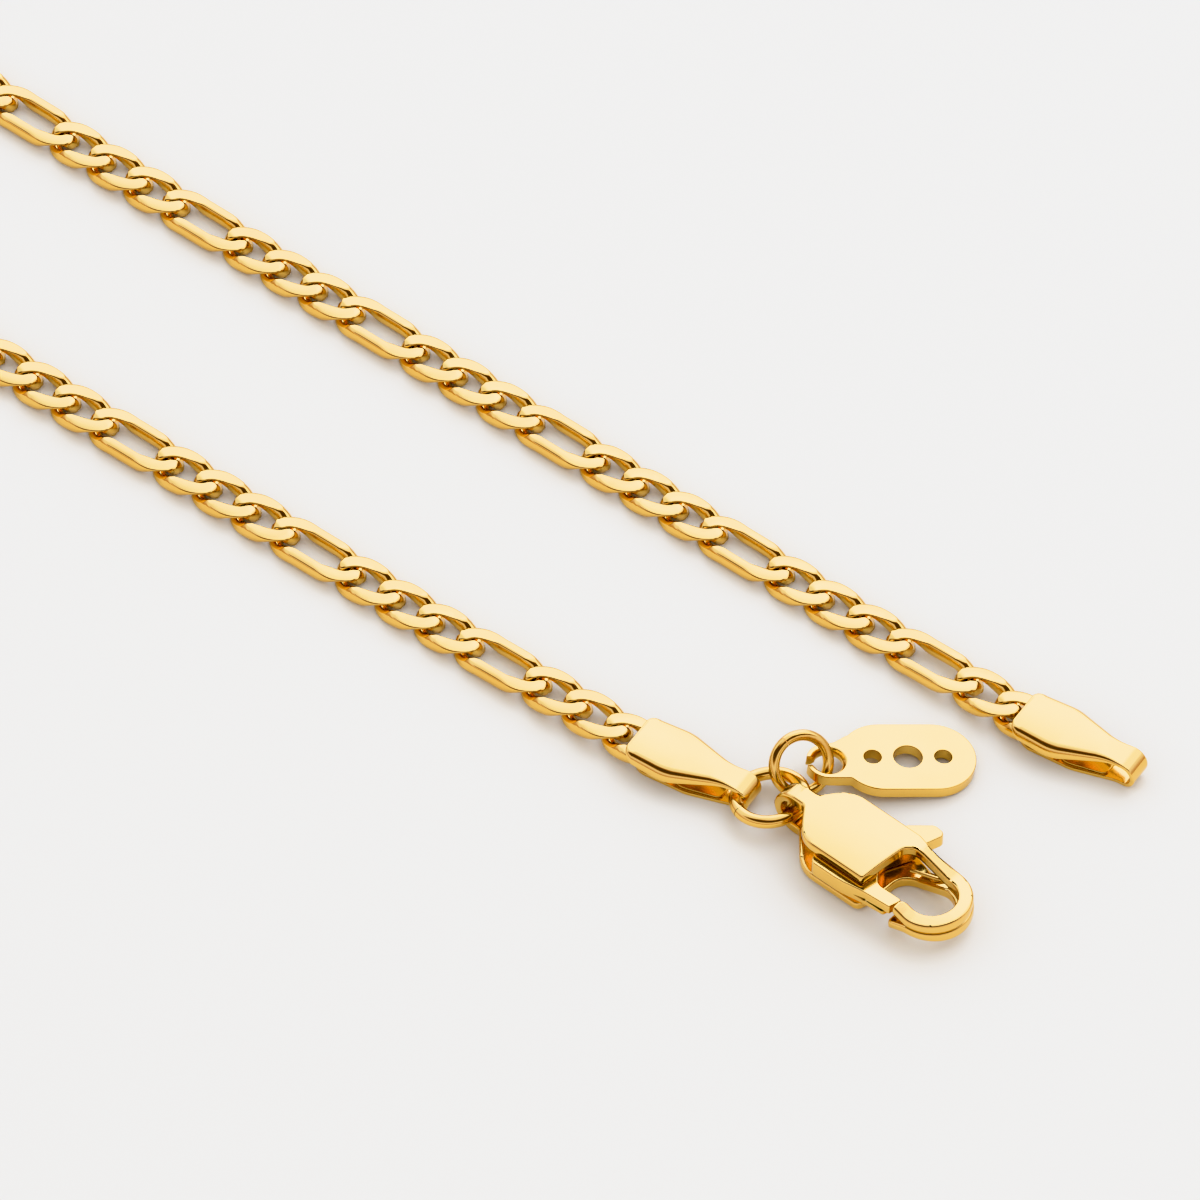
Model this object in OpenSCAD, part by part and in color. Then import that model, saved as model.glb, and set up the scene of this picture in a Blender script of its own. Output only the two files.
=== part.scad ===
// Figaro chain necklace with a lobster clasp and a small pendant tag, lying flat on a surface.
// Millimetres. The surface is z = 0, +X runs towards the clasp, +Y towards the free end's strand.

/* [Chain links] */
// Diameter of the link wire
wire_d = 0.88; // [0.82:0.02:0.94]
// Room beside a neighbour's wire across a link's hole
hole_play = 0.56; // [0.54:0.02:0.7]
// Step of a short link along the chain
short_pitch = 3.2; // [3.2:0.05:3.8]
// Step of a long link along the chain
long_pitch = 5.4; // [5:0.1:7]
// Lengthwise slack between two links
link_slack = 0.18; // [0.16:0.02:0.3]
// Height of the chain after its faces are ground flat
ground_h = 1.15; // [1.05:0.05:1.25]
// Lean of the wire at a link's ends, in degrees
link_lean = 50; // [46:1:54]
// Straight stretch of a long link's sides
long_straight = 2.2; // [1.6:0.1:2.6]
// Squareness of a link's corners, 2 is an ellipse
corner_n = 2.8; // [2.6:0.1:3]
// Short links before the first long link at the free end
first_shorts = 2; // [1:1:3]
// Short links between two long links
group_shorts = 3; // [2:1:4]
// Groups of short links and one long link
groups = 26; // [20:1:28]

/* [Lay of the necklace] */
// Radius of the loop behind the two strands
loop_r = 36; // [32:1:44]
// Radius of the bends from the loop into the strands
flare_r = 36; // [30:1:44]
// Distance between the strands where they leave the loop
strand_gap = 17.94; // [16:0.2:22]
// Angle by which each strand leans towards the other
strand_lean = 0.436; // [0:0.05:0.6]
// How much sooner the clasp's strand ends than the other
end_lag = 17.6; // [16:0.2:22]
// Length over which the chain climbs into an end cap
rise_len = 14; // [10:1:20]

/* [End caps] */
// Sheet thickness of the end caps
cap_sheet = 0.28; // [0.24:0.02:0.32]
// Length of an end cap
cap_len = 8.5; // [8.2:0.1:9.4]
// Width of a cap at its mouth
cap_mouth_w = 3.7; // [3.64:0.02:3.8]
// Corner radius of a cap's upper sheet at its mouth
mouth_corner = 0.8; // [0.6:0.1:1.2]
// Width of a cap at its belly
cap_belly_w = 4.14; // [4.08:0.02:4.3]
// Distance from the mouth to the belly
belly_x = 3; // [2.6:0.1:3.4]
// Width of a cap at its fold
cap_neck_w = 1.76; // [1.6:0.04:2]
// Width of a cap's lower sheet
cap_lower_w = 2.8; // [2.4:0.1:3]
// Gap below the link in a cap
floor_play = 0.1; // [0.08:0.02:0.2]
// Gap above the link in a cap
roof_play = 0.19; // [0.14:0.05:0.29]
// Height of a cap's side flanges
flange_h = 0.7; // [0.5:0.05:0.8]
// Diameter of the post through the last link
post_d = 0.8; // [0.6:0.1:0.9]
// Distance from the mouth to the post
post_x = 0.95; // [0.85:0.05:1.05]
// Mouth of the clasp side cap beyond the last link's middle
clasp_cap_shift = -0.05; // [-0.25:0.05:0]
// Mouth of the free side cap beyond the last link's middle
free_cap_shift = -0.5; // [-0.6:0.05:-0.3]
// Turn of the caps against their strands, in degrees
cap_turn = 7.1; // [5:0.1:8]

/* [Jump rings] */
// Outer diameter of the ring between cap and clasp
clasp_ring_d = 5.12; // [4.9:0.05:5.5]
// Wire diameter of the ring between cap and clasp
clasp_ring_wire = 0.82; // [0.7:0.02:0.84]
// Outer diameter of the tag's ring
tag_ring_d = 4.32; // [4.2:0.05:4.6]
// Wire diameter of the tag's ring
tag_ring_wire = 0.7; // [0.6:0.02:0.74]
// Width of the cut where a ring is closed
ring_cut = 0.05; // [0.04:0.01:0.1]

/* [Tag] */
// Length of the tag's plate
tag_len = 8.5; // [7.4:0.1:11]
// Width of the tag's plate
tag_w = 5.3; // [4.4:0.1:6]
// Thickness of the tag
tag_t = 0.8; // [0.7:0.02:0.84]
// Outer diameter of the tag's eyelet
eyelet_d = 2.8; // [2.75:0.05:2.9]
// Hole diameter of the tag's eyelet
eyelet_hole = 1.78; // [1.76:0.02:1.84]
// Chamfer of the eyelet's hole
eyelet_bevel = 0.24; // [0.2:0.02:0.28]
// Width of the cut in the eyelet
eyelet_cut = 0.6; // [0.4:0.05:0.65]
// Diameter of the two outer piercings
pierce_d = 1.1; // [0.8:0.1:1.3]
// Diameter of the middle piercing
pierce_mid_d = 1.8; // [1.4:0.1:2.4]
// Distance of the outer piercings from the middle one
pierce_step = 2.2; // [1.9:0.1:2.6]

/* [Clasp] */
// Sheet thickness of the clasp
clasp_sheet = 0.8; // [0.7:0.05:0.85]
// Height of the clasp's body
clasp_h = 3.3; // [3.2:0.05:3.6]
// Width of the clasp's upper plate
clasp_w = 5.06; // [4.8:0.02:5.4]
// How far the lower plate stands out on each side
lower_out = 0.26; // [0.1:0.02:0.4]
// Width of the tail that the ring passes
tail_w = 1.28; // [1.1:0.02:1.6]
// Length from the frame's origin in the tail to the body's end
body_x = 8.2; // [7.8:0.1:8.6]
// Distance from the body's end to the hook's centre
hook_x = 3.43; // [3.3:0.05:4]
// Outer radius of the hook
hook_r = 2.72; // [2.66:0.02:2.9]
// Radius of the hook's opening
hook_hole_r = 1.55; // [1.4:0.05:1.6]

/* [Lever] */
// Width of the lever's bar
bar_w = 0.94; // [0.8:0.02:1]
// How far the bar stands out of the upper plate
bar_out = 0.53; // [0.4:0.01:0.6]
// Height of the bar's underside above the lever's
bar_lift = 0.36; // [0.2:0.02:0.5]
// Gap between the lever and each plate
lever_play = 0.08; // [0.05:0.01:0.12]
// Gap between the gate and the hook's tip
gate_play = 0.14; // [0.1:0.02:0.24]
// Reach of the thumb tab beyond the body
thumb_out = 1.85; // [1.4:0.05:2.2]
// Diameter of the pivot pin
pin_d = 0.8; // [0.6:0.05:1]
// Radial gap between the pin and the lever
pin_play = 0.04; // [0.03:0.01:0.08]

/* [Hidden] */
gold = [0.94, 0.78, 0.42];
pale_gold = [0.97, 0.86, 0.58];
// Stations round a link, sides of its wire, and the largest step of an arc in degrees
stations = 12;
sides = 6;
arc_step = 15;
// Excess by which a cutting solid passes what it cuts
past = 1;

// Links: outer sizes, count and places along the chain, from the free end
link_w = hole_play + 3 * wire_d;
short_len = short_pitch + 2 * wire_d + link_slack;
long_len = long_pitch + 2 * wire_d + link_slack;
group_links = group_shorts + 1;
link_count = first_shorts + 1 + groups * group_links + group_shorts;
function is_long(i) = i >= first_shorts && (i - first_shorts) % group_links == 0;
function longs_before(i) = i <= first_shorts ? 0 : floor((i - 1 - first_shorts) / group_links) + 1;
function half_steps(i) = 2 * longs_before(i) + (is_long(i) ? 1 : 0);
function along(i) = i * short_pitch + half_steps(i) * (long_pitch - short_pitch) / 2;
chain_len = along(link_count - 1);

// Route: each side is a loop arc, a flare arc and a straight strand, measured from the loop's far point
free_s = (chain_len + end_lag) / 2;
clasp_s = -(chain_len - end_lag) / 2;
swing = acos((strand_gap / 2 + flare_r * cos(strand_lean)) / (loop_r + flare_r));
loop_s = loop_r * (90 + swing) * PI / 180;
flare_s = loop_s + flare_r * (swing - strand_lean) * PI / 180;
flare_c = [loop_r + (loop_r + flare_r) * sin(swing), (loop_r + flare_r) * cos(swing)];
flare_end = flare_c - flare_r * [sin(strand_lean), cos(strand_lean)];
function side_turn(s) = s < loop_s ? 90 - s / loop_r * 180 / PI
    : s < flare_s ? (s - loop_s) / flare_r * 180 / PI - swing : -strand_lean;
function side_point(s) = let (t = side_turn(s))
    s < loop_s ? [loop_r, 0] + loop_r * [-sin(t), cos(t)]
    : s < flare_s ? flare_c + flare_r * [sin(t), -cos(t)]
    : flare_end + (s - flare_s) * [cos(t), sin(t)];
free_end = side_point(free_s);
clasp_end = [side_point(-clasp_s).x, -side_point(-clasp_s).y];
free_turn = cap_turn - strand_lean;
clasp_turn = cap_turn + strand_lean;
// The middle of the whole length is x = 0
right_x = free_end.x + (free_cap_shift + cap_len) * cos(free_turn) + cap_neck_w / 2 * sin(free_turn);
// A link of the loop stands out a little, because it is straight
middle_x = (right_x - link_w / 2 + 0.13) / 2;

// Heights: the last link stands on the cap's lower sheet
cap_lift = cap_sheet + floor_play;
cap_h = cap_lift + ground_h + roof_play + cap_sheet;
function smooth(q) = let (c = min(1, max(0, q))) c * c * (3 - 2 * c);
function lift(s) = cap_lift * (smooth(1 - (free_s - s) / rise_len) + smooth(1 - (s - clasp_s) / rise_len));
function route(s) = [side_point(abs(s)).x - middle_x, side_point(abs(s)).y * (s < 0 ? -1 : 1), lift(s)];

// Centre line of a link: x along it, y across it, the wire leaning more towards its ends
function power(v, p) = sign(v) * pow(abs(v), p);
function wire_line(t, a, b, h) =
    let (x = (a - h) * power(cos(t), 2 / corner_n) + h * sign(cos(t)))
    let (y = b * power(sin(t), 2 / corner_n))
    let (lean = -link_lean * sign(x) * max(0, (abs(x) - h) / (a - h)))
    [x, y * cos(lean), y * sin(lean), lean];
function place(v) = [v.x, v.y, v.z];
function unit(v) = v / norm(v);
// The stations' polygon touches the link's full length and width
function reach(size) = (size - wire_d) / 2 / pow(cos(180 / stations), 2 / corner_n);
function link_ring(t, a, b, h) =
    let (step = 360 / stations)
    let (w = wire_line(t, a, b, h))
    let (ahead = unit(place(wire_line(t + step, a, b, h)) - place(wire_line(t - step, a, b, h))))
    let (up = [0, -sin(w[3]), cos(w[3])])
    let (top = unit(up - (up * ahead) * ahead))
    let (out = cross(ahead, top))
    [for (k = [0 : sides - 1]) let (g = 360 * k / sides)
        place(w) + wire_d / 2 * (cos(g) * out + sin(g) * top)];
function ground(v) = [v.x, v.y, max(-ground_h / 2, min(ground_h / 2, v.z))];
function link_points(length, h) =
    let (a = reach(length), b = (link_w - wire_d) / 2)
    [for (i = [0 : stations - 1]) each [for (v = link_ring((i + 0.5) * 360 / stations, a, b, h)) ground(v)]];
// A link spans the chord between its joints with its neighbours, and its lower end keeps its joint's height
function frame_at(s, pitch) =
    let (from = route(s - pitch / 2), to = route(s + pitch / 2), run = unit(to - from))
    let (side = unit([-run.y, run.x, 0]), over = (2 * wire_d + link_slack) / 2)
    let (c = (from + to) / 2 + [0, 0, ground_h / 2 + over * abs(run.z)])
    [run, side, cross(run, side), c];
function laid(v, f) = v.x * f[0] + v.y * f[1] + v.z * f[2] + f[3];
function link_faces(first) =
    [for (i = [0 : stations - 1], k = [0 : sides - 1])
        let (j = (i + 1) % stations, m = (k + 1) % sides)
        each [[first + i * sides + k, first + i * sides + m, first + j * sides + m],
            [first + i * sides + k, first + j * sides + m, first + j * sides + k]]];
short_shape = link_points(short_len, 0);
long_shape = link_points(long_len, long_straight / 2);

// Interlocked links from number i0 up to number i1, as one mesh of loose rings
module links(i0, i1) {
    points = [for (i = [i0 : i1])
        let (f = frame_at(free_s - along(i), is_long(i) ? long_pitch : short_pitch))
        each [for (v = is_long(i) ? long_shape : short_shape) laid(v, f)]];
    faces = [for (i = [i0 : i1]) each link_faces((i - i0) * stations * sides)];
    polyhedron(points = points, faces = faces, convexity = 10);
}

// Rounded outlines: each row of a table is a corner, with columns x, y and corner radius
function half_angle(a, b, c) = acos(max(-1, min(1, unit(a - b) * unit(c - b)))) / 2;
function xy(row) = [row.x, row.y];
function wanted(t, i) = let (n = len(t))
    t[i][2] / tan(half_angle(xy(t[(i + n - 1) % n]), xy(t[i]), xy(t[(i + 1) % n])));
function share(t, i, j) = let (sum = wanted(t, i) + wanted(t, j), room = norm(xy(t[i]) - xy(t[j])))
    sum > room ? room / sum : 1;
function corner(t, i) =
    let (n = len(t), j = (i + n - 1) % n, k = (i + 1) % n)
    let (a = xy(t[j]), b = xy(t[i]), c = xy(t[k]), half = half_angle(a, b, c))
    let (back = wanted(t, i) * min(share(t, i, j), share(t, i, k)))
    let (r = back * tan(half), start = b + unit(a - b) * back)
    let (m = b + unit(unit(a - b) + unit(c - b)) * r / sin(half))
    let (turn = sign(cross(b - a, c - b)) * (180 - 2 * half))
    let (from = atan2(start.y - m.y, start.x - m.x), steps = ceil(abs(turn) / arc_step))
    r < 0.01 ? [b] : [for (q = [0 : steps]) let (g = from + turn * q / steps) m + r * [cos(g), sin(g)]];
function rounded(t) =
    let (all = [for (i = [0 : len(t) - 1]) each corner(t, i)])
    [for (i = [0 : len(all) - 1]) if (norm(all[i] - all[(i + 1) % len(all)]) > 0.002) all[i]];

// A side view in x and z, as a solid of the given width across y
module across(width) {
    translate([0, width / 2, 0]) rotate([90, 0, 0]) linear_extrude(width) children();
}

// End cap: a strip folded over, its upper sheet with hanging side flanges, a post between the sheets
module cap_outline(inset, mouth) {
    neck = cap_neck_w / 2 - inset;
    near = [[mouth, -cap_mouth_w / 2 + inset, mouth < 0 ? 0 : mouth_corner],
        [belly_x, -cap_belly_w / 2 + inset, 3],
        [belly_x + 3.4, -neck - 0.05, 4], [cap_len, -neck, 0.1]];
    far = [for (i = [len(near) - 1 : -1 : 0]) [near[i].x, -near[i].y, near[i][2]]];
    polygon(rounded(concat(near, far)));
}
// The lower sheet is narrower, and has a raised layer in its middle
module cap_lower() {
    near = [[0.2, -cap_lower_w / 2, 1.2], [belly_x + 1.3, -cap_lower_w / 2, 3], [cap_len - 1.2, -0.68, 2],
        [cap_len, -cap_neck_w / 2, 0.1]];
    far = [for (i = [len(near) - 1 : -1 : 0]) [near[i].x, -near[i].y, near[i][2]]];
    polygon(rounded(concat(near, far)));
}
module cap_layer() {
    w = cap_lower_w / 2 - 0.15;
    polygon(rounded([[belly_x + 0.3, -w, 0.6], [belly_x + 1.2, -w, 3], [cap_len - 2, -0.78, 0.4],
        [cap_len - 2, 0.78, 0.4], [belly_x + 1.2, w, 3], [belly_x + 0.3, w, 0.6]]));
}
module cap_fold(inset) {
    polygon(rounded([[-past, inset, 0], [cap_len - inset, inset, cap_h / 2 - inset],
        [cap_len - inset, cap_h - inset, cap_h / 2 - inset], [-past, cap_h - inset, 0]]));
}
module end_cap() {
    color(pale_gold) {
        intersection() {
            union() {
                translate([0, 0, cap_h / 2]) linear_extrude(cap_h / 2) cap_outline(0, 0);
                linear_extrude(cap_h / 2) cap_lower();
            }
            across(cap_belly_w + past) difference() {
                cap_fold(0);
                cap_fold(cap_sheet);
            }
        }
        intersection() {
            translate([0, 0, cap_h - flange_h]) linear_extrude(flange_h - cap_sheet / 2) difference() {
                cap_outline(0, 0);
                cap_outline(cap_sheet, -past);
            }
            across(cap_belly_w + past) polygon([[0.9, 0], [belly_x + 1, 0], [belly_x + 1, cap_h - flange_h],
                [belly_x + 4, cap_h - cap_sheet / 2], [belly_x + 4, cap_h], [0.9, cap_h]]);
        }
        translate([0, 0, cap_sheet / 2]) linear_extrude(cap_sheet / 2 + 0.18) cap_layer();
        translate([post_x, 0, cap_sheet / 2]) cylinder(d = post_d, h = cap_h - cap_sheet, $fn = 48);
    }
}
module clasp_side_place() {
    translate([clasp_end.x - middle_x, clasp_end.y, 0]) rotate(clasp_turn) translate([clasp_cap_shift, 0, 0])
        children();
}
module free_side_place() {
    translate([free_end.x - middle_x, free_end.y, 0]) rotate(free_turn) translate([free_cap_shift, 0, 0])
        children();
}

// Jump rings: a round wire bent to a ring, with a thin cut at the given angle
module jump_ring(d, wire, cut_at) {
    color(gold) difference() {
        rotate_extrude($fn = 96) translate([(d - wire) / 2, 0]) circle(d = wire, $fn = 48);
        rotate(cut_at) translate([0, -ring_cut / 2, -wire]) cube([d, ring_cut, 2 * wire]);
    }
}
// The clasp's ring lies in the cap's fold and rises towards the clasp's tail
clasp_ring_r = (clasp_ring_d - clasp_ring_wire) / 2;
cap_seat_play = 0.53;
cap_seat_turn = 15.2;
ring_tilt = 8;
cap_fold_end = [clasp_end.x - middle_x, clasp_end.y]
    + (clasp_cap_shift + cap_len) * [cos(clasp_turn), sin(clasp_turn)];
cap_seat = cap_fold_end
    - (cap_sheet + cap_seat_play + clasp_ring_wire / 2) * [cos(clasp_turn), sin(clasp_turn)];
clasp_ring_c = cap_seat + clasp_ring_r * [cos(cap_seat_turn), sin(cap_seat_turn)];
clasp_ring_z = cap_h / 2 + 0.206;
module clasp_ring_place() {
    translate([clasp_ring_c.x, clasp_ring_c.y, clasp_ring_z]) rotate([0, -ring_tilt, 0]) children();
}
// The tag's ring leans back and holds the far part of the clasp's ring
tag_ring_r = (tag_ring_d - tag_ring_wire) / 2;
tag_ring_lean = 54.5;
tag_ring_face = -24.2;
tag_ring_at = [0.126, 2.906];
module tag_ring_place() {
    translate([clasp_ring_c.x + tag_ring_at.x, clasp_ring_c.y + tag_ring_at.y,
        tag_ring_wire / 2 + tag_ring_r * sin(tag_ring_lean)])
        rotate([0, 0, tag_ring_face]) rotate([0, tag_ring_lean, 0]) children();
}

// Tag: a round-ended plate with three piercings, and an open eyelet at the origin
tag_tilt = 5.4;
tag_turn = 44;
tag_at = [1.138, 4.307];
plate_x = eyelet_d / 4;
plate_y = 0.3;
module tag_outline() {
    near = plate_y - tag_w / 2;
    difference() {
        union() {
            for (x = [plate_x + tag_w / 2, plate_x + tag_len - tag_w / 2])
                translate([x, plate_y]) circle(d = tag_w, $fn = 96);
            translate([plate_x + tag_w / 2, near]) square([tag_len - tag_w, tag_w]);
            circle(d = eyelet_d, $fn = 64);
            polygon(rounded([[0, -eyelet_d / 2, 0], [plate_x + tag_w / 2, -eyelet_d / 2, 0],
                [plate_x + tag_w / 2, near + tag_w - 0.4, 0], [plate_x + 0.55, plate_y + 1.72, 0.5],
                [0.4, eyelet_d / 2 + 0.05, 1], [-0.45, eyelet_d / 2 - 0.12, 0.4]]));
        }
        circle(d = eyelet_hole, $fn = 48);
        translate([-eyelet_d, -eyelet_cut / 2]) square([eyelet_d, eyelet_cut]);
        for (k = [-1 : 1])
            translate([plate_x + tag_len / 2 + k * pierce_step, plate_y])
                circle(d = k == 0 ? pierce_mid_d : pierce_d, $fn = 48);
    }
}
// The tag's far end rests on the surface
tag_z = (plate_x + tag_len) * sin(tag_tilt) + tag_t / 2 * cos(tag_tilt);
module tag() {
    color(pale_gold)
        translate([clasp_ring_c.x + tag_at.x, clasp_ring_c.y + tag_at.y, tag_z])
        rotate([0, 0, tag_turn]) rotate([0, tag_tilt, 0]) difference() {
            translate([0, 0, -tag_t / 2]) linear_extrude(tag_t) tag_outline();
            for (flip = [0, 180]) rotate([flip, 0, 0]) translate([0, 0, tag_t / 2 - eyelet_bevel])
                cylinder(d1 = eyelet_hole, d2 = eyelet_hole + 3 * eyelet_bevel, h = 1.5 * eyelet_bevel,
                    $fn = 48);
        }
}

// Clasp: its own frame has x = 0 in the tail's eye and y = 0 on its axis
hook_c = [body_x + hook_x, 0];
hole_c = [hook_c.x + 0.22, -0.2];
hook_h = 2 * clasp_sheet;
mid_z = clasp_h / 2;
// The tail is thinned where it is folded
tail_x = -0.6;
eye_x = tail_x + clasp_sheet - 0.25;
tail_y = [0.14 - tail_w / 2, 0.14 + tail_w / 2];
// Ends of the hook's tip in its upper and lower half
tip_x = [body_x + hook_x - 0.85, body_x + hook_x - 1.25];
clasp_seat_play = 0.5;
clasp_seat_turn = -0.4;
clasp_turn_own = -2.5;
clasp_at = clasp_ring_c + clasp_ring_r * [cos(clasp_seat_turn), sin(clasp_seat_turn)]
    - [eye_x + clasp_seat_play + clasp_ring_wire / 2, 0];
module clasp_place() {
    translate([clasp_at.x, clasp_at.y, 0]) rotate(clasp_turn_own) children();
}
module upper_outline() {
    w = clasp_w / 2;
    r = hook_hole_r;
    polygon(rounded([
        [tail_x, tail_y[0], 0.1], [1.78, tail_y[0], 0.35], [3.25, -w, 1.9], [body_x, -w, 0.25],
        [body_x + 0.42, 1.38, 0.8], [hook_c.x, 1.37, 1], [hole_c.x + r, hole_c.y + r, r],
        [hole_c.x + r, hole_c.y - r, r], [tip_x[0], hole_c.y - r, 0.5], [tip_x[0], -hook_r, 0.15],
        [hook_c.x + hook_r, -hook_r, hook_r], [hook_c.x + hook_r, hook_r, hook_r],
        [hook_c.x - 1.65, w - 0.4, 1.5], [body_x + 0.4, w, 1], [3.25, w, 1.9], [1.95, tail_y[1], 0.35],
        [tail_x, tail_y[1], 0.1]]));
}
module lower_outline() {
    w = clasp_w / 2 + lower_out;
    r = hook_hole_r - 0.1;
    big = hook_r + 0.04;
    polygon(rounded([
        [tail_x, tail_y[0], 0.1], [1.45, tail_y[0], 0.4], [3.5, -w, 2.4], [body_x - 0.1, -w, 0.5],
        [body_x + 0.38, -0.9, 1.5], [body_x + 0.46, 1.15, 1.2], [hook_c.x, 1.15, 1],
        [hole_c.x + r, hole_c.y + r, r], [hole_c.x + r, hole_c.y - 0.04 - r, r],
        [tip_x[1], hole_c.y - 0.04 - r, 0.4], [tip_x[1], -big, 0.35],
        [hook_c.x + big, -big, big], [hook_c.x + big, big, big],
        [hook_c.x - 1.65, w - 0.6, 1.5], [body_x + 0.2, w - 0.1, 1], [3.5, w, 2.4], [1.45, tail_y[1], 0.4],
        [tail_x, tail_y[1], 0.1]]));
}
bend_x = [body_x + 1.4, body_x + 3.6];
module clasp_side() {
    step = (clasp_h - hook_h) / 2;
    far_x = hook_c.x + hook_r + past;
    difference() {
        polygon(rounded([[tail_x, 0, mid_z], [bend_x[0], 0, 2], [bend_x[1], step, 2], [far_x, step, 0],
            [far_x, clasp_h - step, 0], [bend_x[1], clasp_h - step, 2], [bend_x[0], clasp_h, 2],
            [tail_x, clasp_h, mid_z]]));
        polygon(rounded([[eye_x, clasp_sheet, mid_z - clasp_sheet], [bend_x[0], clasp_sheet, 1],
            [bend_x[1], mid_z, 0], [bend_x[0], clasp_h - clasp_sheet, 1],
            [eye_x, clasp_h - clasp_sheet, mid_z - clasp_sheet]]));
    }
}
// Pivot pin between blind bores in the two plates
pivot = [5.2, -0.8];
pin_end = clasp_sheet * 0.4;
module pin_bore(d, from, to) {
    translate([pivot.x, pivot.y, from]) cylinder(d = d, h = to - from, $fn = 64);
}
// The spring's free leg between the plates, fast in the arm
spring_leg = [[9, 1.18, 1.3], [11.4, 1.86, 1.45]];
module leg() {
    d = spring_leg[1] - spring_leg[0];
    translate(spring_leg[0]) rotate([0, acos(d.z / norm(d)), atan2(d.y, d.x)])
        cylinder(d = 0.24, h = norm(d), $fn = 24);
}
module clasp_body() {
    color(gold) clasp_place() {
        difference() {
            intersection() {
                union() {
                    linear_extrude(mid_z) lower_outline();
                    translate([0, 0, mid_z]) linear_extrude(mid_z) upper_outline();
                }
                across(3 * clasp_w) clasp_side();
            }
            pin_bore(pin_d + 0.02, pin_end - 0.02, clasp_h - pin_end + 0.02);
        }
        leg();
    }
}
module clasp_pin() {
    color(gold) clasp_place() pin_bore(pin_d, pin_end, clasp_h - pin_end);
}

// Lever: gate bar along the near side, an arm round the pin and a thumb tab on the far side
bar_y = -clasp_w / 2 - bar_out;
lever_z = [clasp_sheet + lever_play, clasp_h - clasp_sheet - lever_play];
tab_drop = 0.3;
// The gate ends on an arc about the pivot, in its upper and in its lower half
gate_r = [norm([tip_x[0], -2.2] - pivot) - gate_play, norm([tip_x[1], -2.05] - pivot) - gate_play];
function gate_end(y, r) = [pivot.x + sqrt(r * r - (y - pivot.y) * (y - pivot.y)), y];
module lever_outline(r) {
    gate_near = gate_end(bar_y + 0.4, r);
    gate_far = gate_end(bar_y + 0.4 + bar_w, r);
    w = clasp_w / 2;
    polygon(rounded([[4.6, bar_y, 0.45], [6.8, bar_y, 4], [body_x + 0.3, bar_y + 0.28, 4],
        [gate_near.x, gate_near.y, 0.15], [gate_end(-2.1, r).x, -2.1, 0], [gate_far.x, gate_far.y, 0.12],
        [body_x + 0.6, bar_y + 0.4 + bar_w, 0.8], [body_x - 0.8, 0, 1.2], [body_x + 0.5, w + 0.2, 0.6],
        [body_x + 1, w + thumb_out - 0.1, 0.35], [body_x, w + thumb_out, 0.5],
        [body_x - 1.3, w + 0.7, 0.6], [5.4, 0.9, 1], [3.9, 0.3, 0.9], [3.9, -1.6, 0.9]]));
}
module clasp_lever() {
    tab_z = [lever_z[0] + tab_drop, lever_z[1] - tab_drop];
    color(gold) clasp_place() difference() {
        union() {
            translate([0, 0, lever_z[0]]) linear_extrude(mid_z + 0.06 - lever_z[0]) intersection() {
                lever_outline(gate_r[1]);
                translate([0, -2 * clasp_w]) square([2 * body_x, 2 * clasp_w + clasp_w / 2 - 0.2]);
            }
            translate([0, 0, mid_z + 0.06]) linear_extrude(lever_z[1] - mid_z - 0.06) intersection() {
                lever_outline(gate_r[0]);
                translate([0, -2 * clasp_w]) square([2 * body_x, 2 * clasp_w + clasp_w / 2 - 0.2]);
            }
            translate([0, 0, tab_z[0]]) linear_extrude(tab_z[1] - tab_z[0]) intersection() {
                lever_outline(gate_r[1]);
                translate([0, -1]) square([2 * body_x, 2 * clasp_w]);
            }
        }
        pin_bore(pin_d + 2 * pin_play, 0, clasp_h);
        linear_extrude(lever_z[0] + bar_lift) {
            translate([0, -2 * clasp_w]) square([2 * body_x, 1.5 * clasp_w + 0.1]);
            translate([body_x - 0.1, -2 * clasp_w]) square([body_x, 2 * clasp_w - 0.6]);
        }
    }
}

half = floor(link_count / 2);
module chain_free_half() { color(gold) links(0, half - 1); }
module chain_clasp_half() { color(gold) links(half, link_count - 1); }
module cap_clasp_side() { clasp_side_place() end_cap(); }
module cap_free_side() { free_side_place() end_cap(); }
module jump_ring_clasp() { clasp_ring_place() jump_ring(clasp_ring_d, clasp_ring_wire, 250); }
module jump_ring_tag() { tag_ring_place() jump_ring(tag_ring_d, tag_ring_wire, 200); }

chain_clasp_half();
chain_free_half();
cap_clasp_side();
cap_free_side();
jump_ring_clasp();
jump_ring_tag();
tag();
clasp_body();
clasp_pin();
clasp_lever();
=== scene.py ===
"""Looks of the figaro chain necklace: ground links, polished plates, floor, light and camera."""
import math

import bmesh
import bpy
import numpy as np
from mathutils import Matrix, Vector


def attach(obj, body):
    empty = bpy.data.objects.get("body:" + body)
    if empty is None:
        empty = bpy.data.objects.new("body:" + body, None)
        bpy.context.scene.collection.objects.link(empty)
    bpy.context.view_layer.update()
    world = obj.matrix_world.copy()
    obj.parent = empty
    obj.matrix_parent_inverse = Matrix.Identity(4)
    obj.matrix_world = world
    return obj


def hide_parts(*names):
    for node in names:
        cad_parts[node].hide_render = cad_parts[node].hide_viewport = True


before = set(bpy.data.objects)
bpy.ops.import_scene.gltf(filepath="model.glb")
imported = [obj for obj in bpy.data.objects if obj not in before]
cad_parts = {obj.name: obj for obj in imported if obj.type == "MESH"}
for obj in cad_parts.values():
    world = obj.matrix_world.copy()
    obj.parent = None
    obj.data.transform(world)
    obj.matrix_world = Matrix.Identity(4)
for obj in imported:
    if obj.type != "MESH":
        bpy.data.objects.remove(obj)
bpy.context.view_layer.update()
MM = 0.001

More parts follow.
